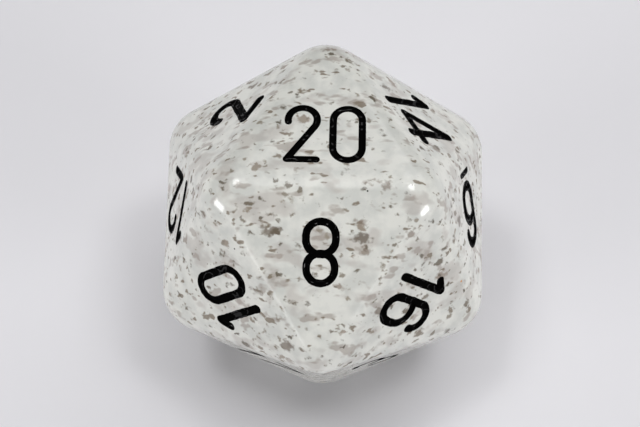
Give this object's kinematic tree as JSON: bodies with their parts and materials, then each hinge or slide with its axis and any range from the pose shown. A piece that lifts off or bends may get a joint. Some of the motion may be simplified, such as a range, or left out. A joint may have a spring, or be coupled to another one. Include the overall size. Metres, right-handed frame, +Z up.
{
  "type": "polyhedral die",
  "caption": "Chunky rounded die of speckled cast resin whose triangular faces carry engraved, black-painted numbers, underlined where upside-down reading would mislead.",
  "frame": {"origin": "centre of the flat face numbered 1, on which the die rests", "axes": "+Z up through the centre of the face numbered 20; the face numbered 8 slopes down towards -Y, and the figures of 20 read from the -Y side"},
  "size_m": [0.0358, 0.0398, 0.034],
  "materials": {
    "resin": "glossy cast resin, off-white with olive-brown and mauve flakes like granite",
    "paint": "glossy black paint lining the engraved strokes"
  },
  "bodies": {
    "root": {"die_body": "resin", "paint_01": "paint", "paint_02": "paint", "paint_03": "paint", "paint_04": "paint", "paint_05": "paint", "paint_06": "paint", "paint_06_bar": "paint", "paint_07": "paint", "paint_08": "paint", "paint_09": "paint", "paint_09_bar": "paint", "paint_10_tens": "paint", "paint_10_units": "paint", "paint_11_tens": "paint", "paint_11_units": "paint", "paint_12_tens": "paint", "paint_12_units": "paint", "paint_13_tens": "paint", "paint_13_units": "paint", "paint_14_tens": "paint", "paint_14_units": "paint", "paint_15_tens": "paint", "paint_15_units": "paint", "paint_16_tens": "paint", "paint_16_units": "paint", "paint_17_tens": "paint", "paint_17_units": "paint", "paint_18_tens": "paint", "paint_18_units": "paint", "paint_19_tens": "paint", "paint_19_units": "paint", "paint_20_tens": "paint", "paint_20_units": "paint"}
  },
  "joints": []
}
